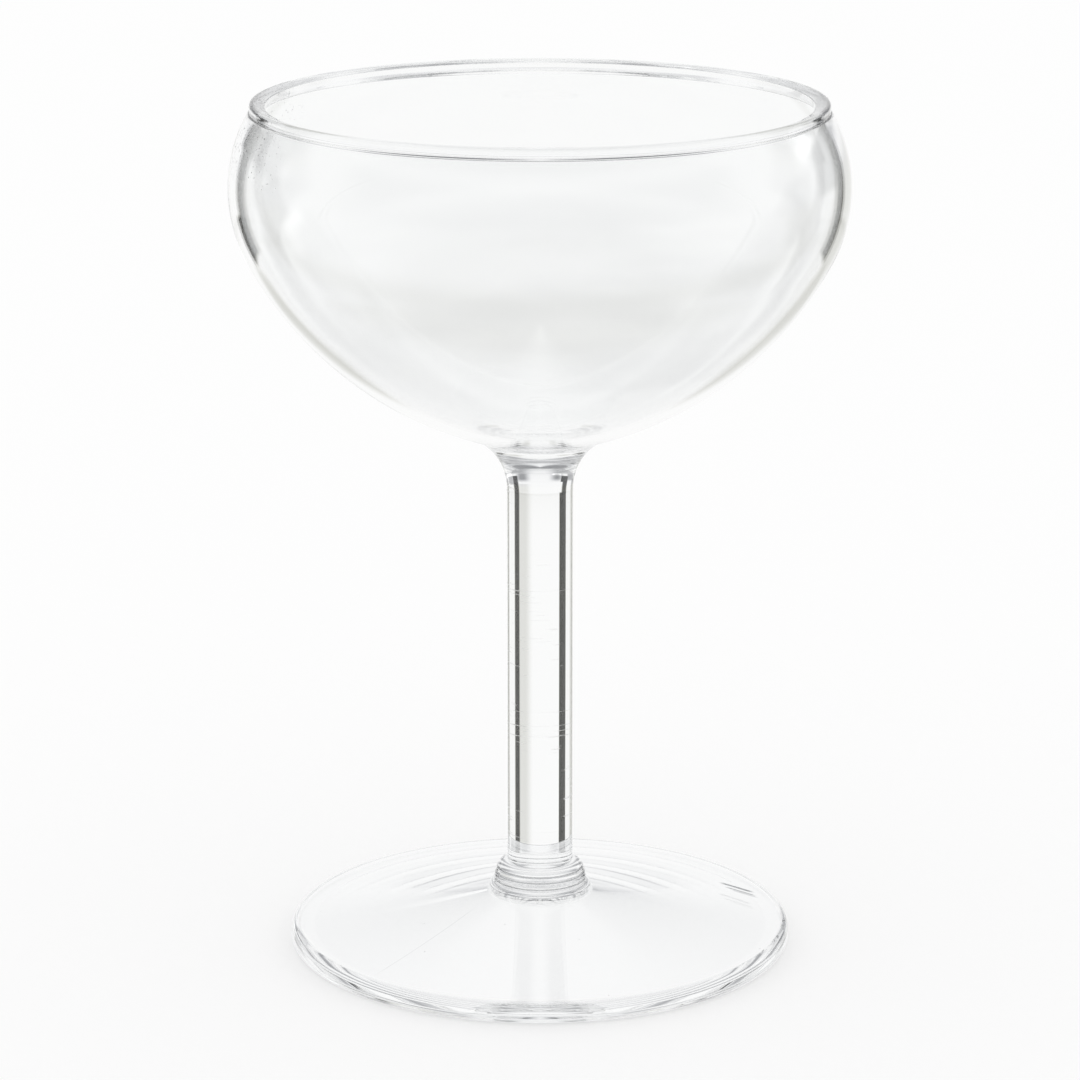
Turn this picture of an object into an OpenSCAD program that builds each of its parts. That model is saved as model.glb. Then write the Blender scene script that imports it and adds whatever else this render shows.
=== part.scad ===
// Margarita glass in clear glass: a blown bowl with an in-turned shoulder and a rounded lip, a solid
// drawn stem and a pressed, dished foot with a ringed, domed collar. They are fused at two flat joints.
// All are bodies of revolution about Z. Millimetres, +Z up, origin at the centre of the resting face.

/* [Bowl] */
// Widest outside diameter of the bowl
bowl_d = 116; // [104:1:130]
// Wall thickness of the bowl
bowl_wall = 1.85; // [1.4:0.05:2.4]
// Radius of the shoulder that turns in above the widest ring
shoulder_r = 26.8; // [24:0.2:32]
// Radius of the belly below the widest ring
belly_r = 28.8; // [25:0.2:34]
// Angle that the belly turns through before the long lower curve takes over
belly_turn = 28.6; // [24:0.2:34]
// Radius of the long lower curve that runs down to the neck
lower_r = 71; // [64:0.5:80]
// Slope of the inside at which the dish of the floor begins
floor_turn = 14; // [11:0.5:18]

/* [Lip] */
// How far the outside of the lip stands in from the bowl's widest ring
lip_inset = 4.2; // [3:0.1:8]
// Width of the lip, measured across its section
lip_w = 2.9; // [2.4:0.1:3.4]
// Height of the lip's upright outer face, above the crease
lip_face = 0.95; // [0.5:0.05:1.4]
// Rounding from the outer face to the top of the lip
lip_round = 0.7; // [0.5:0.05:0.9]
// Angle at which the top of the lip slopes down to its inner edge
lip_slope = 16; // [4:1:22]
// Rounding of the lip's inner edge
lip_inner_r = 0.25; // [0.15:0.05:0.45]
// Height of the upright inner face, between the inner edge and the curve under it
lip_inner_face = 0.4; // [0.1:0.05:0.6]
// How far the shoulder stands out past the lip at the crease below it
crease_step = 0.2; // [0:0.05:0.4]
// Radius on the shoulder's upper edge, where it rolls into the crease
crease_r = 0.35; // [0.2:0.05:0.5]

/* [Stem] */
// Outside diameter of the stem
stem_d = 12.6; // [11:0.1:14]
// Length of the stem from the top of the collar to the joint under the bowl
stem_len = 81.2; // [60:0.2:110]
// Radius of the flare that sweeps from the stem into the bowl
neck_r = 11.2; // [9:0.1:14]
// How far the flat joint under the bowl reaches out past the stem's side
joint_spread = 2.85; // [1:0.05:6]

/* [Foot] */
// Outside diameter of the foot
foot_d = 96.4; // [86:0.2:110]
// Height of the foot's edge
edge_h = 4.45; // [4:0.05:5.5]
// Rounding at the top of the edge
edge_top_r = 1.8; // [1:0.1:2]
// Rounding at the bottom of the edge
edge_low_r = 2; // [1:0.1:2.4]
// Height of the foot's upper surface where it reaches the collar
foot_rise = 11.4; // [10:0.1:14]
// How far the upper surface sags below a straight cone
foot_sag = 0.6; // [0:0.1:1]
// Width of the flat ring that the foot rests on
rest_w = 2.2; // [1.5:0.1:8]
// Thickness of the foot under the collar's edge, from its top down to the dished underside
foot_wall = 3.8; // [3:0.1:6]

/* [Collar] */
// Thickness of the domed collar at its foot, outside the stem
collar_wall = 2.6; // [1.8:0.1:5]
// Height of the collar above the foot's upper surface
collar_h = 4.8; // [4:0.1:7]
// Fillet round the bottom of the collar
collar_fillet = 0.8; // [0.3:0.1:1]
// Height of the lowest pressed ring above the collar's fillet
ring_low = 0.35; // [0.25:0.05:0.6]
// Height of the middle ring above the fillet
ring_mid = 1.6; // [1.3:0.05:1.9]
// Height of the highest ring above the fillet
ring_high = 2.6; // [2.4:0.05:2.75]
// Width of each ring
ring_w = 0.36; // [0.2:0.02:0.4]
// Depth of each ring
ring_depth = 0.1; // [0.06:0.02:0.16]

/* [Hidden] */
$fn = 96;

// Largest distance between an arc and the chords that stand for it
chord_error = 0.015;
// Fewest chords in an arc, and chords along the foot's sagging slopes
fewest_chords = 3;
slope_chords = 12;
// Angle at which the shoulder's rolled edge stops
roll_end = 120;
clear_glass = [0.93, 0.95, 0.95, 0.45];

bowl_radius = bowl_d / 2;
lip_radius = bowl_radius - lip_inset;
stem_radius = stem_d / 2;
joint_radius = stem_radius + joint_spread;
collar_radius = stem_radius + collar_wall;
foot_radius = foot_d / 2;
hollow_radius = foot_radius - edge_low_r - rest_w;

// Heights up the stack, from the table to the joint under the bowl
collar_top = foot_rise + collar_h;
joint_z = collar_top + stem_len;

// The flare is an arc that touches the stem and the bowl's lower curve; the joint cuts across it
neck_centre_r = stem_radius + neck_r;
joint_angle = acos((joint_radius - neck_centre_r) / neck_r);
neck_centre_z = joint_z - neck_r * sin(joint_angle);

// Centres of the bowl's curves: each touches the next
lower_centre_r = bowl_radius - belly_r + (belly_r - lower_r) * cos(belly_turn);
lower_centre_z = neck_centre_z + sqrt(pow(lower_r + neck_r, 2) - pow(neck_centre_r - lower_centre_r, 2));
belly_z = lower_centre_z + (belly_r - lower_r) * sin(belly_turn);
neck_end = atan2(lower_centre_z - neck_centre_z, lower_centre_r - neck_centre_r);
lower_start = neck_end - 180;

// The dish of the floor is centred on the axis and touches the inside of the lower curve
lower_inside_r = lower_r - bowl_wall;
floor_r = lower_inside_r + lower_centre_r / sin(floor_turn);
floor_centre_z = lower_centre_z - (lower_inside_r - floor_r) * cos(floor_turn);
floor_start = floor_turn - 90;

// The shoulder runs up to the crease, and the lip sits on it
shoulder_centre_r = bowl_radius - shoulder_r;
shoulder_turn = acos((lip_radius + crease_step - shoulder_centre_r) / shoulder_r);
roll_centre_r = shoulder_centre_r + (shoulder_r - crease_r) * cos(shoulder_turn);
roll_centre_z = belly_z + (shoulder_r - crease_r) * sin(shoulder_turn);
face_z = roll_centre_z + crease_r * sin(roll_end) + crease_step;
round_centre_r = lip_radius - lip_round;
round_centre_z = face_z + lip_face;
inner_centre_r = lip_radius - lip_w + lip_inner_r;
inner_centre_z = round_centre_z + (lip_round - lip_inner_r) / cos(lip_slope)
    - (round_centre_r - inner_centre_r) * tan(lip_slope);
under_z = inner_centre_z - lip_inner_face;
wall_top_r = shoulder_centre_r + (shoulder_r - bowl_wall) * cos(shoulder_turn);
wall_top_z = belly_z + (shoulder_r - bowl_wall) * sin(shoulder_turn);

// The foot's upper surface sags from the collar to the edge; its underside follows down to the table
slope_run = foot_radius - edge_top_r - collar_radius;
hollow_run = hollow_radius - collar_radius;
hollow_top = foot_rise - foot_wall;

// The collar's dome is a quarter of an oval above its fillet, and the rings are cut into it
dome_z = foot_rise + collar_fillet;
dome_h = collar_top - dome_z;

// Chords needed for an arc of this radius and sweep
function chords(radius, sweep) =
    max(fewest_chords, ceil(abs(sweep) / (2 * acos(1 - chord_error / radius))));

// Points along an arc from one angle to another, 0 pointing outward and 90 up
function arc(centre_r, centre_z, radius, from, to) =
    let (count = chords(radius, to - from))
    [for (i = [0 : count])
        let (angle = from + (to - from) * i / count)
        [centre_r + radius * cos(angle), centre_z + radius * sin(angle)]];

// Points along part of an oval, from one angle to another
function oval(centre_r, centre_z, half_w, half_h, from, to) =
    let (count = chords(max(half_w, half_h), to - from))
    [for (i = [0 : count])
        let (angle = from + (to - from) * i / count)
        [centre_r + half_w * cos(angle), centre_z + half_h * sin(angle)]];

// Height at a share of the way down a slope that sags below a straight cone
function sagged(high, low, share) = high + (low - high) * share - 4 * foot_sag * share * (1 - share);

// Part of the collar's dome, from one height above the fillet to another
function dome(from_h, to_h) =
    oval(stem_radius, dome_z, collar_wall, dome_h, asin(from_h / dome_h), asin(to_h / dome_h));

// Bottom of a ring at a height above the fillet
function ring_bottom(height) =
    [[stem_radius + collar_wall * sqrt(1 - pow(height / dome_h, 2)) - ring_depth, dome_z + height]];

// Upper surface of the foot, with its edge, from the edge's underside up to the collar's fillet
function foot_top() =
    concat(
        arc(foot_radius - edge_low_r, edge_low_r, edge_low_r, -90, 0),
        arc(foot_radius - edge_top_r, edge_h - edge_top_r, edge_top_r, 0, 90),
        [for (i = [1 : slope_chords - 1])
            let (share = 1 - i / slope_chords)
            let (radius = collar_radius + slope_run * share)
            if (radius > collar_radius + collar_fillet) [radius, sagged(foot_rise, edge_h, share)]]);

// Bowl with its rounded lip and the upper half of the flare
module bowl() {
    outside = concat(
        [[0, joint_z]],
        arc(neck_centre_r, neck_centre_z, neck_r, joint_angle, neck_end),
        arc(lower_centre_r, lower_centre_z, lower_r, lower_start, -belly_turn),
        arc(bowl_radius - belly_r, belly_z, belly_r, -belly_turn, 0),
        arc(shoulder_centre_r, belly_z, shoulder_r, 0, shoulder_turn));
    lip = concat(
        arc(roll_centre_r, roll_centre_z, crease_r, shoulder_turn, roll_end),
        [[lip_radius, face_z]],
        arc(round_centre_r, round_centre_z, lip_round, 0, 90 + lip_slope),
        arc(inner_centre_r, inner_centre_z, lip_inner_r, 90 + lip_slope, 180),
        oval(wall_top_r, under_z, wall_top_r - lip_radius + lip_w, under_z - wall_top_z, 180, 270));
    inside = concat(
        arc(shoulder_centre_r, belly_z, shoulder_r - bowl_wall, shoulder_turn, 0),
        arc(bowl_radius - belly_r, belly_z, belly_r - bowl_wall, 0, -belly_turn),
        arc(lower_centre_r, lower_centre_z, lower_inside_r, -belly_turn, floor_start),
        arc(0, floor_centre_z, floor_r, floor_start, -90));
    color(clear_glass)
        rotate_extrude()
            polygon(concat(outside, lip, inside));
}

// Solid stem: a plain rod on the collar that sweeps out to the joint under the bowl
module stem() {
    outside = concat(
        [[0, collar_top], [stem_radius, collar_top]],
        arc(neck_centre_r, neck_centre_z, neck_r, 180, joint_angle),
        [[0, joint_z]]);
    color(clear_glass)
        rotate_extrude()
            polygon(outside);
}

// Dished foot with its rounded edge and the ringed, domed collar that carries the stem
module foot() {
    half_w = ring_w / 2;
    underside = [for (i = [0 : slope_chords])
        let (share = i / slope_chords)
        [collar_radius + hollow_run * share, sagged(hollow_top, 0, share)]];
    collar = concat(
        arc(collar_radius + collar_fillet, dome_z, collar_fillet, -90, -180),
        dome(0, ring_low - half_w),
        ring_bottom(ring_low),
        dome(ring_low + half_w, ring_mid - half_w),
        ring_bottom(ring_mid),
        dome(ring_mid + half_w, ring_high - half_w),
        ring_bottom(ring_high),
        dome(ring_high + half_w, dome_h));
    color(clear_glass)
        rotate_extrude()
            polygon(concat([[0, hollow_top]], underside, foot_top(), collar, [[0, collar_top]]));
}

bowl();
stem();
foot();
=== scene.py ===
"""Margarita glass in clear glass: blown bowl, solid stem and pressed foot, in a plain bright studio."""
import logging
import math
from dataclasses import dataclass, field
from enum import Enum
from typing import Any, Union

import bpy
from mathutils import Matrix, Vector


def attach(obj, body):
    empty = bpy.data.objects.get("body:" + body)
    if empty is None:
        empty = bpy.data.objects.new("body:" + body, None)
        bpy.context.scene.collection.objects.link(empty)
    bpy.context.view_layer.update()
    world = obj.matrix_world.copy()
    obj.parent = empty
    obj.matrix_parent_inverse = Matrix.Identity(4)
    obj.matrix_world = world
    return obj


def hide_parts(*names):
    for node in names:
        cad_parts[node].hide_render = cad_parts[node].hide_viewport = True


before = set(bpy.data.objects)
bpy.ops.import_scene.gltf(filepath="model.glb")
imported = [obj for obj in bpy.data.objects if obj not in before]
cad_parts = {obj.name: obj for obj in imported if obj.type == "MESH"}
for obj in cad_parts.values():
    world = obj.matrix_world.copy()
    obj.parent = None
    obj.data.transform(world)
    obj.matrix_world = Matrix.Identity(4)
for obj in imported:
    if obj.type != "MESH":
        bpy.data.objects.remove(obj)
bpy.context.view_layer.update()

LOG = logging.getLogger("margarita_glass")
MM = 0.001
MICRON = 0.000001
LIGHT_BOUNCES = 128
BODY = "root"
WHITE = (1.0, 1.0, 1.0, 1.0)
# Points of a profile that lie closer than this, in millimetres, are one point.
TOUCHING = 1e-6
FEWEST_CHORDS = 3
# Colour sockets of a Mix node, which share their names with its sockets for numbers.
MIX_FIRST, MIX_SECOND, MIX_RESULT = 6, 7, 2

Point = tuple[float, float]
Colour = tuple[float, float, float, float]
Number = Union["Value", float]


class Surface(Enum):
    """What a stretch of a turned profile is: bare glass, or a face fused to the next piece."""

    BARE = 0
    FUSED = 1


class Ray(Enum):
    """Kinds of ray that the studio tells apart."""

    CAMERA = "Is Camera Ray"
    GLOSSY = "Is Glossy Ray"
    TRANSMISSION = "Is Transmission Ray"


class Value:
    """A number on a node socket that takes part in Python expressions."""

    def __init__(self, nodes: "Nodes", socket: bpy.types.NodeSocket) -> None:
        """Keeps the socket and the builder that adds nodes beside it.

        Args:
            nodes: builder of the tree that the socket belongs to.
            socket: output socket that carries the number.
        """
        self.nodes = nodes
        self.socket = socket

    def math(self, operation: str, *numbers: Number, clamp: bool = False) -> "Value":
        """Adds a Math node.

        Args:
            operation: the Math node's operation.
            numbers: its inputs in order.
            clamp: whether the result is held between 0 and 1.

        Returns:
            The node's result.
        """
        settings = {"operation": operation, "use_clamp": clamp}
        return self.nodes.value("ShaderNodeMath", settings, dict(enumerate(numbers)))

    def __add__(self, other: Number) -> "Value":
        """Sum of the two."""
        return self.math("ADD", self, other)

    __radd__ = __add__

    def __sub__(self, other: Number) -> "Value":
        """This less the other."""
        return self.math("SUBTRACT", self, other)

    def __rsub__(self, other: Number) -> "Value":
        """The other less this."""
        return self.math("SUBTRACT", other, self)

    def __mul__(self, other: Number) -> "Value":
        """Product of the two."""
        return self.math("MULTIPLY", self, other)

    __rmul__ = __mul__

    def __truediv__(self, other: Number) -> "Value":
        """This divided by the other."""
        return self.math("DIVIDE", self, other)

    def __rtruediv__(self, other: Number) -> "Value":
        """The other divided by this."""
        return self.math("DIVIDE", other, self)

    def __abs__(self) -> "Value":
        """Size without sign."""
        return self.math("ABSOLUTE", self)

    def larger(self, other: Number) -> "Value":
        """The larger of the two."""
        return self.math("MAXIMUM", self, other)

    def ramp(self, start: float, end: float) -> "Value":
        """Smooth step from 0 at start to 1 at end; start may lie above end."""
        settings = {"interpolation_type": "SMOOTHSTEP"}
        flip = start > end
        low, high = sorted((start, end))
        sockets = {"Value": self, "From Min": low, "From Max": high,
                   "To Min": float(flip), "To Max": float(not flip)}
        return self.nodes.value("ShaderNodeMapRange", settings, sockets)


class Nodes:
    """Adds nodes to one shader tree."""

    def __init__(self, tree: bpy.types.NodeTree) -> None:
        """Empties the tree and keeps it.

        Args:
            tree: tree of a material or of the world.
        """
        self.tree = tree
        tree.nodes.clear()

    def add(self, kind: str, settings: dict[str, Any] | None = None,
            sockets: dict[Any, Any] | None = None) -> bpy.types.Node:
        """Adds one node of any kind.

        Args:
            kind: the node's type.
            settings: attributes set before the sockets.
            sockets: number, colour, Value or output socket for each input, by name or index.

        Returns:
            The new node.
        """
        node = self.tree.nodes.new(kind)
        for key, setting in (settings or {}).items():
            setattr(node, key, setting)
        for key, given in (sockets or {}).items():
            source = given.socket if isinstance(given, Value) else given
            if isinstance(source, bpy.types.NodeSocket):
                self.tree.links.new(source, node.inputs[key])
            else:
                node.inputs[key].default_value = source
        return node

    def value(self, kind: str, settings: dict[str, Any] | None = None,
              sockets: dict[Any, Any] | None = None, output: Any = 0) -> Value:
        """Adds one node and wraps an output of it.

        Args:
            kind: the node's type.
            settings: attributes set before the sockets.
            sockets: what each input gets.
            output: name or index of the output.

        Returns:
            The output as a value.
        """
        return Value(self, self.add(kind, settings, sockets).outputs[output])

    def ray(self, kind: Ray) -> Value:
        """1 where the ray being shaded is of this kind."""
        return self.value("ShaderNodeLightPath", output=kind.value)

    def mirrored(self) -> Value:
        """1 where the ray was reflected or came through glass."""
        return self.ray(Ray.GLOSSY).larger(self.ray(Ray.TRANSMISSION))

    def place(self) -> tuple[Value, Value, Value]:
        """Place on the piece along X, Y and Z, in metres."""
        whole = self.add("ShaderNodeTexCoord").outputs["Object"]
        apart = self.add("ShaderNodeSeparateXYZ", sockets={0: whole})
        across, along, height = (Value(self, apart.outputs[axis]) for axis in "XYZ")
        return across, along, height

    def noise(self, size: float, stretch: tuple[float, float, float] = (1.0, 1.0, 1.0),
              detail: float = 2.0, finer: float = 0.4) -> Value:
        """Soft noise over a piece.

        Args:
            size: how far apart its lumps lie, in metres.
            stretch: how much closer they lie along each axis.
            detail: how many finer layers it has.
            finer: strength of each finer layer beside the one before.

        Returns:
            Noise between 0 and 1.
        """
        whole = self.add("ShaderNodeTexCoord").outputs["Object"]
        stretched = self.add("ShaderNodeMapping", sockets={"Vector": whole, "Scale": stretch})
        return self.value("ShaderNodeTexNoise", sockets={
            "Vector": stretched.outputs[0], "Scale": 1 / size, "Detail": detail, "Roughness": finer})

    def dots(self, gap: float, radius: float, core: float = 0.6) -> Value:
        """Scattered dots over a piece.

        Args:
            gap: size of the cells that hold one dot each, in metres; most dots miss the surface.
            radius: the dots' radius in metres.
            core: share of the radius inside which a dot is at its full strength.

        Returns:
            1 in a dot, 0 off it.
        """
        whole = self.add("ShaderNodeTexCoord").outputs["Object"]
        away = self.value("ShaderNodeTexVoronoi", sockets={"Vector": whole, "Scale": 1 / gap})
        return away.ramp(radius / gap, radius / gap * core)

    def mix(self, share: Number, first: Any, second: Any) -> bpy.types.NodeSocket:
        """Mixes two colours.

        Args:
            share: share of the second.
            first: the first colour, or its socket.
            second: the second colour, or its socket.

        Returns:
            The mixed colour.
        """
        sockets = {0: share, MIX_FIRST: first, MIX_SECOND: second}
        return self.add("ShaderNodeMix", {"data_type": "RGBA"}, sockets).outputs[MIX_RESULT]


@dataclass
class Profile:
    """Half section of a turned piece in millimetres, walked with the glass on its left."""

    points: list[Point] = field(default_factory=list)
    surfaces: list[Surface] = field(default_factory=list)

    def line(self, radius: float, height: float, surface: Surface = Surface.BARE) -> "Profile":
        """Adds a straight stretch.

        Args:
            radius: distance of its end from the axis.
            height: height of its end.
            surface: what the stretch is.

        Returns:
            The profile itself.
        """
        if self.points and math.dist(self.points[-1], (radius, height)) < TOUCHING:
            return self
        if self.points:
            self.surfaces.append(surface)
        self.points.append((radius, height))
        return self

    def arc(self, centre: Point, radius: float, start: float, end: float, chord: float = 1.2,
            turn: float = 5.0) -> "Profile":
        """Adds an arc.

        Args:
            centre: its centre.
            radius: its radius.
            start: angle that it starts at, 0 outward and 90 up, in degrees.
            end: angle that it ends at.
            chord: longest chord in millimetres.
            turn: widest angle between two chords in degrees.

        Returns:
            The profile itself.
        """
        sweep = abs(end - start)
        count = math.ceil(max(sweep / turn, math.radians(sweep) * radius / chord, FEWEST_CHORDS))
        for step in range(count + 1):
            angle = math.radians(start + (end - start) * step / count)
            self.line(centre[0] + radius * math.cos(angle), centre[1] + radius * math.sin(angle))
        return self

    def oval(self, centre: Point, across: float, up: float, start: float, end: float,
             steps: int = 12) -> "Profile":
        """Adds part of an oval.

        Args:
            centre: its centre.
            across: half its width.
            up: half its height.
            start: angle that it starts at, 0 outward and 90 up, in degrees.
            end: angle that it ends at.
            steps: number of chords.

        Returns:
            The profile itself.
        """
        for step in range(steps + 1):
            angle = math.radians(start + (end - start) * step / steps)
            self.line(centre[0] + across * math.cos(angle), centre[1] + up * math.sin(angle))
        return self


@dataclass(frozen=True)
class Lathe:
    """Turns a profile into a closed mesh about Z."""

    sides: int = 240
    crease: float = 35.0

    def turn(self, name: str, profile: Profile) -> bpy.types.Object:
        """Makes the object of a turned piece.

        Args:
            name: name of the object and its mesh.
            profile: half section, from the axis back to the axis.

        Returns:
            The new object, smooth but for its creases.
        """
        rings: list[list[int]] = []
        verts: list[Vector] = []
        for radius, height in profile.points:
            count = self.sides if radius > TOUCHING else 1
            rings.append(list(range(len(verts), len(verts) + count)))
            for side in range(count):
                angle = math.tau * side / self.sides
                verts.append(Vector((radius * math.cos(angle), radius * math.sin(angle), height)) * MM)
        faces: list[tuple[int, ...]] = []
        slots: list[int] = []
        for low, high, surface in zip(rings, rings[1:], profile.surfaces):
            made = self._band(low, high)
            faces += made
            slots += [surface.value] * len(made)
        mesh = bpy.data.meshes.new(name)
        mesh.from_pydata(verts, [], faces)
        mesh.polygons.foreach_set("material_index", slots)
        mesh.shade_smooth()
        mesh.set_sharp_from_angle(angle=math.radians(self.crease))
        mesh.update()
        piece = bpy.data.objects.new(name, mesh)
        bpy.context.scene.collection.objects.link(piece)
        return piece

    def _band(self, low: list[int], high: list[int]) -> list[tuple[int, ...]]:
        """Faces between two rings, either of which may be a single point on the axis."""
        faces = []
        for side in range(self.sides):
            after = (side + 1) % self.sides
            corners = [low[side % len(low)], low[after % len(low)],
                       high[after % len(high)], high[side % len(high)]]
            faces.append(tuple(dict.fromkeys(corners)))
        return faces


@dataclass(frozen=True)
class Scratch:
    """Straight scratch on the foot, seen from above, in metres."""

    start: Point
    end: Point
    width: float
    shade: float
    taper: float = 0.2
    core: float = 0.3

    def mask(self, across: Value, along: Value) -> Value:
        """How much of the scratch lies at each place.

        Args:
            across: place along X.
            along: place along Y.

        Returns:
            1 in the middle of the scratch, 0 off it.
        """
        length = math.dist(self.start, self.end)
        run_x, run_y = ((b - a) / length for a, b in zip(self.start, self.end))
        from_x, from_y = across - self.start[0], along - self.start[1]
        off = abs(from_x * run_y - from_y * run_x)
        gone = (from_x * run_x + from_y * run_y) / length
        tapered = gone.ramp(0.0, self.taper) * gone.ramp(1.0, 1.0 - self.taper)
        return off.ramp(self.width, self.width * self.core) * tapered


@dataclass
class Marks:
    """What the marks on a glass surface do at each place."""

    relief: Value
    dull: Number = 0.0
    dark: Number = 0.0


@dataclass(frozen=True)
class ClearGlass:
    """Soda-lime glass whose surface is a little uneven; each finish adds its own marks."""

    name: str
    tint: Colour = (0.985, 0.99, 0.99, 1.0)
    dark_tint: Colour = (0.6, 0.61, 0.62, 1.0)
    ior: float = 1.52
    ripple_size: float = 0.02
    ripple_stretch: tuple[float, float, float] = (1.0, 1.0, 1.0)
    ripple_height: float = 10.0

    def _marks(self, nodes: Nodes) -> Marks:
        """Adds the nodes that mark the surface.

        Args:
            nodes: builder of the material's tree.

        Returns:
            Relief in micrometres, roughness, and share of the dark tint.
        """
        return Marks(nodes.noise(self.ripple_size, self.ripple_stretch) * self.ripple_height)

    def material(self) -> bpy.types.Material:
        """Builds the material.

        Returns:
            The new material.
        """
        made = bpy.data.materials.new(self.name)
        made.use_nodes = True
        nodes = Nodes(made.node_tree)
        marks = self._marks(nodes)
        bump = nodes.add("ShaderNodeBump", sockets={
            "Height": marks.relief, "Distance": MICRON, "Strength": 1.0})
        varied = isinstance(marks.dark, Value)
        tint = nodes.mix(marks.dark, self.tint, self.dark_tint) if varied else self.tint
        clear = nodes.add("ShaderNodeBsdfPrincipled", sockets={
            "Base Color": tint, "Roughness": marks.dull, "IOR": self.ior,
            "Transmission Weight": 1.0, "Normal": bump.outputs[0]})
        nodes.add("ShaderNodeOutputMaterial", sockets={"Surface": clear.outputs[0]})
        return made


@dataclass(frozen=True)
class BlownGlass(ClearGlass):
    """Blown glass: soft ripples, smudged painted shade round the belly and small seeds below the lip."""

    # The fields below set the band of painted shade round the belly, its height, strength and smudges.
    shade_lump_size: float = 0.05
    shade_lump_flat: float = 5.0
    painted_shade_depth: float = 0.16
    shade_band_low: float = 0.104
    shade_band_high: float = 0.142
    shade_band_rise: float = 0.012
    shade_band_fall: float = 0.016
    shade_lump_detail: float = 4.0
    shade_lump_thin: float = 0.45
    shade_lump_full: float = 0.72
    seed_gap: float = 0.0012
    seed_radius: float = 0.0002
    seed_side: float = -0.043
    seed_side_fade: float = 0.006
    seed_low: float = 0.15
    seed_low_fade: float = 0.004
    seed_dull: float = 0.5

    def _marks(self, nodes: Nodes) -> Marks:
        """Adds the nodes that mark the surface.

        Args:
            nodes: builder of the material's tree.

        Returns:
            Relief in micrometres, roughness, and share of the dark tint.
        """
        marks = super()._marks(nodes)
        across, _, height = nodes.place()
        # Painted shade: a soft band round the belly, broken into smudges by noise and darkened with the
        # dark tint.
        lumps = nodes.noise(self.shade_lump_size, (1.0, 1.0, self.shade_lump_flat), self.shade_lump_detail)
        painted_patches = lumps.ramp(self.shade_lump_thin, self.shade_lump_full)
        painted_band = height.ramp(self.shade_band_low, self.shade_band_low + self.shade_band_rise) * height.ramp(
            self.shade_band_high, self.shade_band_high - self.shade_band_fall)
        marks.dark = painted_patches * painted_band * self.painted_shade_depth
        corner = across.ramp(self.seed_side, self.seed_side - self.seed_side_fade) * height.ramp(
            self.seed_low, self.seed_low + self.seed_low_fade)
        marks.dull = nodes.dots(self.seed_gap, self.seed_radius) * corner * self.seed_dull
        return marks


@dataclass(frozen=True)
class DrawnGlass(ClearGlass):
    """Drawn rod: ripples pulled along it and short nicks across it."""

    nick_long: float = 0.006
    nick_high: float = 0.00035
    nick_dull: float = 0.4
    nick_thin: float = 0.66
    nick_full: float = 0.72
    patch_size: float = 0.012
    patch_thin: float = 0.5
    patch_full: float = 0.6

    def _marks(self, nodes: Nodes) -> Marks:
        """Adds the nodes that mark the surface.

        Args:
            nodes: builder of the material's tree.

        Returns:
            Relief in micrometres, roughness, and share of the dark tint.
        """
        marks = super()._marks(nodes)
        flat = self.nick_long / self.nick_high
        lumps = nodes.noise(self.nick_long, (1.0, 1.0, flat), detail=0.0)
        nick = lumps.ramp(self.nick_thin, self.nick_full)
        patch = nodes.noise(self.patch_size).ramp(self.patch_thin, self.patch_full)
        marks.dull = nick * patch * self.nick_dull
        return marks


@dataclass(frozen=True)
class PressedGlass(ClearGlass):
    """Pressed glass that has been used: scratches and a few specks, with painted shade in the collar's
    rings.
    """

    rings: tuple[float, ...] = ()
    ring_width: float = 0.00036
    # Strength of the painted shade along the collar's grooves.
    ring_painted_shade: float = 0.75
    ring_core: float = 0.7
    scratches: tuple[Scratch, ...] = ()
    scratch_dull: float = 0.4
    speck_gap: float = 0.0055
    speck_radius: float = 0.00017
    speck_shade: float = 0.7
    speck_top: float = 0.012
    speck_full: float = 0.0115
    middle_slope: float = 0.2
    middle_height: float = 0.0113

    def _marks(self, nodes: Nodes) -> Marks:
        """Adds the nodes that mark the surface.

        Args:
            nodes: builder of the material's tree.

        Returns:
            Relief in micrometres, roughness, and share of the dark tint.
        """
        marks = super()._marks(nodes)
        across, along, height = nodes.place()
        half = self.ring_width / 2
        # Painted shade: dark lines along the collar's grooves.
        rings = sum(abs(height - ring).ramp(half, half * self.ring_core) for ring in self.rings)
        below = height.ramp(self.speck_top, self.speck_full)
        specks = nodes.dots(self.speck_gap, self.speck_radius) * below
        radius = across.math("SQRT", across * across + along * along)
        upper = (height + radius * self.middle_slope).ramp(self.middle_height, self.middle_height + MM)
        lines = sum(scratch.mask(across, along) * scratch.shade for scratch in self.scratches)
        scratched = upper * lines
        marks.dark = rings * self.ring_painted_shade + specks * self.speck_shade + scratched
        marks.dull = scratched * self.scratch_dull
        return marks


@dataclass(frozen=True)
class FusedFace:
    """Face inside a fused joint, where glass runs into glass and light passes straight through."""

    name: str = "fused_face"

    def material(self) -> bpy.types.Material:
        """Builds the material.

        Returns:
            The new material.
        """
        made = bpy.data.materials.new(self.name)
        made.use_nodes = True
        nodes = Nodes(made.node_tree)
        clear = nodes.add("ShaderNodeBsdfPrincipled", sockets={"Base Color": WHITE, "Alpha": 0.0})
        nodes.add("ShaderNodeOutputMaterial", sockets={"Surface": clear.outputs[0]})
        return made


@dataclass
class Neck:
    """Flare between the stem and the bowl, cut across by the flat joint between them."""

    stem_radius: float = 6.3
    radius: float = 11.2
    joint_spread: float = 2.85
    joint_height: float = 97.4
    chord: float = 0.15

    @property
    def joint_radius(self) -> float:
        """Radius of the flat joint."""
        return self.stem_radius + self.joint_spread

    @property
    def joint_angle(self) -> float:
        """Angle on the flare where the joint cuts it, in degrees."""
        across = self.joint_radius - self.stem_radius - self.radius
        return math.degrees(math.acos(across / self.radius))

    @property
    def centre(self) -> Point:
        """Centre of the flare's arc."""
        drop = self.radius * math.sin(math.radians(self.joint_angle))
        return self.stem_radius + self.radius, self.joint_height - drop


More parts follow.
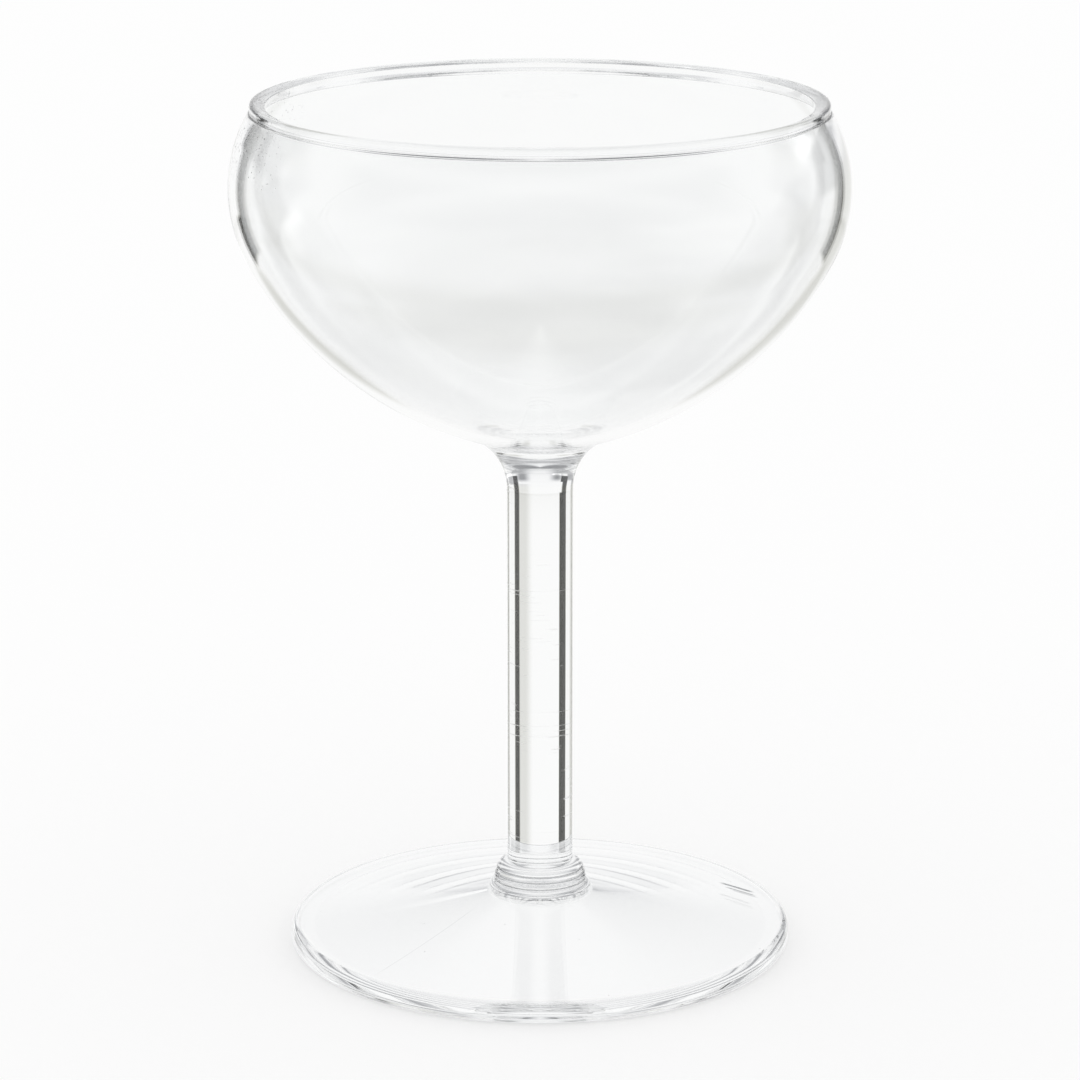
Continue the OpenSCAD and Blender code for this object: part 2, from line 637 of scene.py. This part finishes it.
@dataclass
class Bowl:
    """Blown bowl with its in-turned shoulder, creased and beaded lip and the top of the neck."""

    neck: Neck
    radius: float = 58.0
    wall: float = 1.85
    shoulder: float = 26.8
    belly: float = 28.8
    belly_turn: float = 28.6
    lower: float = 71.0
    floor_turn: float = 14.0
    lip_inset: float = 4.2
    lip_width: float = 2.9
    lip_face: float = 0.95
    lip_round: float = 0.7
    lip_slope: float = 16.0
    inner_round: float = 0.25
    inner_face: float = 0.4
    crease_step: float = 0.2
    crease_radius: float = 0.35
    roll_end: float = 120.0
    floor_chord: float = 0.6
    lip_turn: float = 6.0
    small_turn: float = 12.0

    def build(self, lathe: Lathe) -> bpy.types.Object:
        """Turns the bowl.

        Args:
            lathe: what turns the profile.

        Returns:
            The bowl.
        """
        turn = math.radians(self.belly_turn)
        lower_r = self.radius - self.belly + (self.belly - self.lower) * math.cos(turn)
        neck_r, neck_z = self.neck.centre
        rise = math.sqrt((self.lower + self.neck.radius) ** 2 - (neck_r - lower_r) ** 2)
        lower_centre = (lower_r, neck_z + rise)
        belly_z = lower_centre[1] + (self.belly - self.lower) * math.sin(turn)
        belly_centre = (self.radius - self.belly, belly_z)
        neck_end = math.degrees(math.atan2(lower_centre[1] - neck_z, lower_r - neck_r))
        inner = self.lower - self.wall
        dish = math.radians(self.floor_turn)
        floor = inner + lower_r / math.sin(dish)
        floor_centre = (0.0, lower_centre[1] - (inner - floor) * math.cos(dish))
        shoulder_centre = (self.radius - self.shoulder, belly_z)
        lip = self.radius - self.lip_inset
        reach = math.acos((lip + self.crease_step - shoulder_centre[0]) / self.shoulder)
        shoulder_turn = math.degrees(reach)
        roll = self.shoulder - self.crease_radius
        roll_centre = (shoulder_centre[0] + roll * math.cos(reach), belly_z + roll * math.sin(reach))
        roll_top = roll_centre[1] + self.crease_radius * math.sin(math.radians(self.roll_end))
        face_z = roll_top + self.crease_step
        round_centre = (lip - self.lip_round, face_z + self.lip_face)
        slope = math.radians(self.lip_slope)
        inner_r = lip - self.lip_width + self.inner_round
        inner_z = (round_centre[1] + (self.lip_round - self.inner_round) / math.cos(slope)
                   - (round_centre[0] - inner_r) * math.tan(slope))
        wall_top = (shoulder_centre[0] + (self.shoulder - self.wall) * math.cos(reach),
                    belly_z + (self.shoulder - self.wall) * math.sin(reach))
        under_z = inner_z - self.inner_face

        section = Profile().line(0, self.neck.joint_height)
        section.line(self.neck.joint_radius, self.neck.joint_height, Surface.FUSED)
        section.arc(self.neck.centre, self.neck.radius, self.neck.joint_angle, neck_end, self.neck.chord)
        section.arc(lower_centre, self.lower, neck_end - 180, -self.belly_turn)
        section.arc(belly_centre, self.belly, -self.belly_turn, 0)
        section.arc(shoulder_centre, self.shoulder, 0, shoulder_turn)
        section.arc(roll_centre, self.crease_radius, shoulder_turn, self.roll_end, turn=self.small_turn)
        section.line(lip, face_z)
        section.arc(round_centre, self.lip_round, 0, 90 + self.lip_slope, turn=self.lip_turn)
        section.arc((inner_r, inner_z), self.inner_round, 90 + self.lip_slope, 180,
                    turn=self.small_turn)
        section.oval((wall_top[0], under_z), wall_top[0] - lip + self.lip_width,
                     under_z - wall_top[1], 180, 270)
        section.arc(shoulder_centre, self.shoulder - self.wall, shoulder_turn, 0)
        section.arc(belly_centre, self.belly - self.wall, 0, -self.belly_turn)
        section.arc(lower_centre, inner, -self.belly_turn, self.floor_turn - 90)
        section.arc(floor_centre, floor, self.floor_turn - 90, -90, self.floor_chord)
        section.points[-1] = (0.0, section.points[-1][1])
        return lathe.turn("blown_bowl", section)

    def dress(self, piece: bpy.types.Object, fused: bpy.types.Material) -> None:
        """Gives the bowl its glass.

        Args:
            piece: the bowl.
            fused: material of the face in the joint.
        """
        # The default dark tint paints a smudged band of shade round the belly.
        glass = BlownGlass("blown_glass", ripple_size=0.03, ripple_height=20.0)
        piece.data.materials.append(glass.material())
        piece.data.materials.append(fused)


@dataclass
class Stem:
    """Solid drawn stem that sweeps out to the joint under the bowl."""

    neck: Neck
    bottom: float = 16.2
    rod_rings: int = 24

    def build(self, lathe: Lathe) -> bpy.types.Object:
        """Turns the stem.

        Args:
            lathe: what turns the profile.

        Returns:
            The stem.
        """
        radius = self.neck.stem_radius
        section = Profile().line(0, self.bottom).line(radius, self.bottom, Surface.FUSED)
        rod = self.neck.centre[1] - self.bottom
        for ring in range(1, self.rod_rings):
            section.line(radius, self.bottom + rod * ring / self.rod_rings)
        section.arc(self.neck.centre, self.neck.radius, 180, self.neck.joint_angle, self.neck.chord)
        section.line(0, self.neck.joint_height, Surface.FUSED)
        return lathe.turn("drawn_stem", section)

    def dress(self, piece: bpy.types.Object, fused: bpy.types.Material) -> None:
        """Gives the stem its glass.

        Args:
            piece: the stem.
            fused: material of the faces in the joints.
        """
        glass = DrawnGlass("drawn_glass", ripple_size=0.004, ripple_height=4.0,
                           ripple_stretch=(1.0, 1.0, 0.2))
        piece.data.materials.append(glass.material())
        piece.data.materials.append(fused)


@dataclass
class Foot:
    """Pressed foot with its rounded edge, shallow hollow underneath and domed collar."""

    stem_radius: float = 6.3
    radius: float = 48.2
    edge_height: float = 4.45
    edge_top: float = 1.8
    edge_low: float = 2.0
    rise: float = 11.4
    sag: float = 0.6
    rest_width: float = 2.2
    wall: float = 3.8
    collar_wall: float = 2.6
    collar_height: float = 4.8
    collar_fillet: float = 0.8
    grooves: tuple[float, ...] = (12.55, 13.8, 14.8)
    groove_width: float = 0.36
    groove_depth: float = 0.1
    slope_rings: int = 40
    dome_rings: int = 24

    @property
    def top(self) -> float:
        """Height of the collar's flat top, which the stem stands on."""
        return self.rise + self.collar_height

    def _sagged(self, high: float, low: float, share: float) -> float:
        """Height at a share of the way down a slope that sags below a straight cone."""
        return high + (low - high) * share - 4 * self.sag * share * (1 - share)

    def _dome_heights(self, dome_z: float) -> list[tuple[float, float]]:
        """Heights up the collar's dome, each with how deep a pressed ring cuts in there.

        Args:
            dome_z: height at which the dome starts.

        Returns:
            Height and depth of each point, from the bottom up.
        """
        half = self.groove_width / 2
        steps = self.dome_rings
        rings = [(dome_z + (self.top - dome_z) * math.sin(math.radians(90 * step / steps)), 0.0)
                 for step in range(1, steps + 1)]
        clear = [ring for ring in rings if all(abs(ring[0] - cut) > half for cut in self.grooves)]
        cuts = [(cut + side * half, self.groove_depth * (side == 0))
                for cut in self.grooves for side in (-1, 0, 1)]
        return sorted(clear + cuts)

    def build(self, lathe: Lathe) -> bpy.types.Object:
        """Turns the foot.

        Args:
            lathe: what turns the profile.

        Returns:
            The foot.
        """
        collar = self.stem_radius + self.collar_wall
        run = self.radius - self.edge_top - collar
        dome_z = self.rise + self.collar_fillet
        hollow = self.radius - self.edge_low - self.rest_width
        hollow_top = self.rise - self.wall

        section = Profile().line(0, hollow_top)
        for ring in range(self.slope_rings + 1):
            share = ring / self.slope_rings
            section.line(collar + (hollow - collar) * share, self._sagged(hollow_top, 0.0, share))
        low_centre = (self.radius - self.edge_low, self.edge_low)
        top_centre = (self.radius - self.edge_top, self.edge_height - self.edge_top)
        section.arc(low_centre, self.edge_low, -90, 0)
        section.arc(top_centre, self.edge_top, 0, 90)
        for ring in range(1, self.slope_rings):
            share = 1 - ring / self.slope_rings
            if run * share > self.collar_fillet:
                section.line(collar + run * share, self._sagged(self.rise, self.edge_height, share))
        section.arc((collar + self.collar_fillet, dome_z), self.collar_fillet, -90, -180)
        for height, depth in self._dome_heights(dome_z):
            share = math.sqrt(1 - ((height - dome_z) / (self.top - dome_z)) ** 2)
            section.line(self.stem_radius + self.collar_wall * share - depth, height)
        section.line(0, self.top, Surface.FUSED)
        return lathe.turn("pressed_foot", section)

    def dress(self, piece: bpy.types.Object, fused: bpy.types.Material) -> None:
        """Gives the foot its glass.

        Args:
            piece: the foot.
            fused: material of the face in the joint.
        """
        # The dark tint colours the specks and scratches, and paints shade along the collar's grooves.
        scratches = (
            Scratch((-0.032, -0.035), (-0.0115, -0.0093), 0.00012, 0.25),
            Scratch((0.0352, 0.0164), (0.0425, 0.0118), 0.0007, 0.95),
            Scratch((0.0362, 0.0137), (0.0428, 0.0098), 0.0004, 0.95),
            Scratch((0.0375, 0.0121), (0.0430, 0.0088), 0.0003, 0.75))
        glass = PressedGlass("pressed_glass", ripple_size=0.02, ripple_height=3.0,
                             dark_tint=(0.1, 0.11, 0.12, 1.0), scratches=scratches,
                             rings=tuple(groove * MM for groove in self.grooves),
                             ring_width=self.groove_width * MM)
        piece.data.materials.append(glass.material())
        piece.data.materials.append(fused)


@dataclass(frozen=True)
class Board:
    """Grey or bright board in the studio, by the directions that it fills round the glass, in degrees.

    Directions across are measured from straight behind the glass, and grow to the right.
    """

    left: float
    right: float
    low: float
    high: float
    level: float
    soft: float = 2.0
    fade: float = 2.0

    def light(self, across: Value, up: Value) -> Value:
        """Share of the room's light that is left in each direction.

        Args:
            across: direction across, in degrees.
            up: direction up, in degrees.

        Returns:
            The board's level on the board, and 1 off it.
        """
        inside = across.ramp(self.left - self.soft, self.left + self.soft)
        inside *= across.ramp(self.right + self.soft, self.right - self.soft)
        inside *= up.ramp(self.low - self.fade, self.low + self.fade)
        inside *= up.ramp(self.high + self.fade, self.high - self.fade)
        return 1 - inside * (1 - self.level)


@dataclass
class Studio:
    """White room round the glass, with boards that only the glass shows, and its camera."""

    boards: tuple[Board, ...] = (
        # Dark strips that the stem shows as its bands, with paler panels beside the right one.
        Board(-41.5, -27.0, -21.0, -12.7, 0.03, soft=0.8, fade=0.6),
        Board(-41.5, -31.0, -13.6, 0.8, 0.05, soft=1.6, fade=0.6),
        Board(-41.5, -27.0, 0.0, 12.0, 0.06, soft=0.8, fade=0.6),
        Board(14.0, 38.0, -21.0, -12.8, 0.75, soft=6.0, fade=0.8),
        Board(29.5, 40.0, -21.0, 12.0, 0.04, soft=1.4, fade=0.6),
        Board(40.0, 56.0, -5.0, 12.0, 0.5, soft=2.5, fade=1.5),
        Board(14.0, 40.0, -12.8, -3.0, 0.8, soft=5.0, fade=1.5),
        # Panels above the horizon that grey the neck and the patches under the lip.
        Board(-27.0, -14.0, 3.0, 18.0, 0.3, soft=6.0, fade=4.0),
        Board(14.0, 29.5, 2.0, 18.0, 0.32, soft=6.0, fade=4.0),
        Board(-66.0, -40.0, 3.0, 18.0, 0.4, soft=3.0, fade=3.0),
        Board(-12.0, 12.0, 8.0, 44.0, 0.92, soft=4.0, fade=10.0),
        # Wings at the sides and in front of the glass, which draw its outline.
        Board(-76.0, -58.0, -21.0, 8.0, 0.6, soft=5.0, fade=3.0),
        Board(62.0, 76.0, -21.0, 8.0, 0.55, soft=5.0, fade=3.0),
        Board(-200.0, -100.0, 0.0, 30.0, 0.7, soft=10.0, fade=6.0),
        Board(100.0, 200.0, 0.0, 30.0, 0.7, soft=10.0, fade=6.0),
        # Upper boards and ceiling, left open straight behind.
        Board(-66.0, -14.0, 18.0, 42.0, 0.4, soft=10.0, fade=4.0),
        Board(14.0, 66.0, 18.0, 42.0, 0.4, soft=10.0, fade=4.0),
        Board(-220.0, -16.0, 46.0, 105.0, 0.28, soft=22.0, fade=12.0),
        Board(16.0, 220.0, 46.0, 105.0, 0.28, soft=22.0, fade=12.0),
        # Low boards that the foot and the collar show.
        Board(-27.0, -16.0, -36.0, -20.0, 0.7, soft=3.0, fade=1.5),
        Board(16.0, 27.0, -36.0, -20.0, 0.72, soft=3.0, fade=1.5),
        # Bright panels, and two faint lines below the horizon.
        Board(44.0, 62.0, 12.0, 36.0, 1.9, soft=4.0, fade=4.0),
        Board(-26.0, -14.0, 12.5, 17.0, 2.2, soft=2.0, fade=1.0),
        Board(-60.0, 60.0, -13.5, -12.8, 0.92, soft=6.0, fade=0.6),
        Board(-60.0, 60.0, -14.2, -13.3, 0.95, soft=6.0, fade=0.5),
    )
    room_light: float = 0.975
    low_shade: Colour = (1.0, 1.0, 0.86, 1.0)
    high_shade: Colour = (0.92, 0.94, 1.0, 1.0)
    shade_from: float = -10.0
    shade_to: float = 0.0
    floor_colour: Colour = (0.97, 0.97, 0.97, 1.0)
    floor_half: float = 3.0
    floor_drop: float = 0.00005
    floor_seen_glow: float = 0.6
    floor_mirrored_glow: float = 0.96
    floor_solid_to: float = 0.05
    floor_clear_from: float = 0.052
    lens: float = 143.64
    sensor: float = 36.0
    eye: tuple[float, float, float] = (0.0, -0.79182, 0.28800)
    aim: tuple[float, float, float] = (0.0, 0.0, 0.07979)

    def build(self) -> None:
        """Makes the room, the floor and the camera."""
        self._room()
        self._floor()
        self._camera()

    def _room(self) -> None:
        """White world in which glass also shows the boards."""
        world = bpy.data.worlds.new("studio")
        bpy.context.scene.world = world
        world.use_nodes = True
        nodes = Nodes(world.node_tree)
        way = nodes.add("ShaderNodeSeparateXYZ", sockets={
            0: nodes.add("ShaderNodeTexCoord").outputs["Generated"]})
        across, along, up = (Value(nodes, way.outputs[axis]) for axis in "XYZ")
        degree = 180 / math.pi
        azimuth = across.math("ARCTAN2", across, along) * degree
        height = up.math("ARCSINE", up) * degree
        lights = (board.light(azimuth, height) for board in self.boards)
        light = math.prod(lights, start=self.room_light)
        seen = nodes.mirrored()
        strength = seen * light + (1 - seen)
        shade = nodes.mix(height.ramp(self.shade_from, self.shade_to), self.low_shade, self.high_shade)
        colour = nodes.mix(strength, shade, WHITE)
        sky = nodes.add("ShaderNodeBackground", sockets={"Color": colour, "Strength": strength})
        nodes.add("ShaderNodeOutputWorld", sockets={"Surface": sky.outputs[0]})

    def _floor(self) -> None:
        """Pale floor that keeps the glass's shadow; through glass, only the part under it shows."""
        half = self.floor_half
        corners = [(-half, -half), (half, -half), (half, half), (-half, half)]
        mesh = bpy.data.meshes.new("floor")
        mesh.from_pydata([(x, y, -self.floor_drop) for x, y in corners], [], [(0, 1, 2, 3)])
        floor = bpy.data.objects.new("floor", mesh)
        bpy.context.scene.collection.objects.link(floor)
        made = bpy.data.materials.new("pale_floor")
        made.use_nodes = True
        nodes = Nodes(made.node_tree)
        place = nodes.add("ShaderNodeTexCoord").outputs["Object"]
        reach = nodes.value("ShaderNodeVectorMath", {"operation": "LENGTH"}, {0: place}, "Value")
        paper = nodes.add("ShaderNodeBsdfPrincipled", sockets={
            "Base Color": self.floor_colour, "Roughness": 1.0, "Specular IOR Level": 0.0})
        bright = nodes.add("ShaderNodeEmission", sockets={"Color": WHITE, "Strength": 1.0})
        seen = nodes.ray(Ray.CAMERA) * self.floor_seen_glow
        glow = seen + nodes.mirrored() * self.floor_mirrored_glow
        lit = nodes.add("ShaderNodeMixShader", sockets={
            0: glow, 1: paper.outputs[0], 2: bright.outputs[0]})
        beyond = nodes.mirrored() * reach.ramp(self.floor_solid_to, self.floor_clear_from)
        through = nodes.add("ShaderNodeBsdfTransparent")
        shown = nodes.add("ShaderNodeMixShader", sockets={
            0: beyond, 1: lit.outputs[0], 2: through.outputs[0]})
        nodes.add("ShaderNodeOutputMaterial", sockets={"Surface": shown.outputs[0]})
        mesh.materials.append(made)

    def _camera(self) -> None:
        """Camera at the photograph's place and lens."""
        data = bpy.data.cameras.new("camera")
        data.lens = self.lens
        data.sensor_width = self.sensor
        camera = bpy.data.objects.new("camera", data)
        camera.location = self.eye
        look = Vector(self.aim) - Vector(self.eye)
        camera.rotation_euler = look.to_track_quat("-Z", "Y").to_euler()
        bpy.context.scene.collection.objects.link(camera)
        bpy.context.scene.camera = camera


def set_light_paths(scene: bpy.types.Scene) -> None:
    """Lets light go through all the layers of glass, and keeps the plain view.

    Args:
        scene: the scene to set.
    """
    scene.view_settings.view_transform = "Standard"
    for kind in ("max", "transmission", "glossy", "transparent_max"):
        setattr(scene.cycles, f"{kind}_bounces", LIGHT_BOUNCES)
    scene.cycles.use_denoising = True


def register(piece: bpy.types.Object, node: str) -> None:
    """Ties a piece to the frame and reports it.

    Args:
        piece: the dressed piece.
        node: CAD node that it stands for.
    """
    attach(piece, BODY)
    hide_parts(node)
    LOG.info("%s: %d faces, for %s", piece.name, len(piece.data.polygons), node)


def main() -> None:
    """Builds, dresses and registers the three pieces, then the studio."""
    logging.basicConfig(level=logging.INFO, format="%(message)s")
    set_light_paths(bpy.context.scene)
    lathe = Lathe()
    neck = Neck()
    fused = FusedFace().material()
    foot, stem, bowl = Foot(), Stem(neck), Bowl(neck)
    for part, node, slot in ((foot, "foot", "clear_foot"), (stem, "stem", "clear_stem"),
                             (bowl, "bowl", "clear_bowl")):
        piece = part.build(lathe)
        part.dress(piece, fused)
        register(piece, node)
    Studio().build()


if __name__ == "__main__":
    main()
